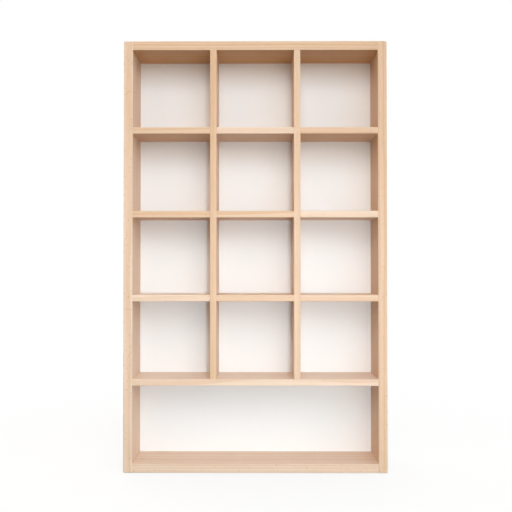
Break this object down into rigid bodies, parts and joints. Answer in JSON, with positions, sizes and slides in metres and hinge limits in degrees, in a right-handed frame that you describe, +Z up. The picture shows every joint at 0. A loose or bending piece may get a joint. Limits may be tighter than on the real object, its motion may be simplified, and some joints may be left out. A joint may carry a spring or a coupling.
{
  "type": "printers tray",
  "caption": "Shallow beech wall case of square bays over one long bay, with a white back and keyhole hangers behind.",
  "frame": {"origin": "middle of the footprint, on the underside of the bottom board", "axes": "+Z up the tall side, +X to the right of someone facing the open front, +Y from the front to the wall"},
  "size_m": [0.306, 0.062, 0.501],
  "materials": {
    "beech": "planed beech under clear matt lacquer",
    "dowel_beech": "turned beech, unfinished",
    "white_hardboard": "hardboard with a smooth white painted face towards the bays and a bare brown rear",
    "plate_steel": "zinc plated sheet",
    "screw_steel": "zinc plated",
    "pin_steel": "bright wire"
  },
  "bodies": {
    "root": {"left_side": "beech", "right_side": "beech", "top_board": "beech", "bottom_board": "beech", "long_shelf": "beech", "divider_left": "beech", "divider_right": "beech", "shelf_upper_left": "beech", "shelf_upper_centre": "beech", "shelf_upper_right": "beech", "shelf_middle_left": "beech", "shelf_middle_centre": "beech", "shelf_middle_right": "beech", "shelf_lower_left": "beech", "shelf_lower_centre": "beech", "shelf_lower_right": "beech", "hanging_rail": "beech", "back_panel": "white_hardboard", "keyhole_plate_left": "plate_steel", "keyhole_plate_right": "plate_steel", "keyhole_screws": "screw_steel", "panel_pins": "pin_steel", "corner_dowels": "dowel_beech", "rail_dowels": "dowel_beech"}
  },
  "joints": []
}
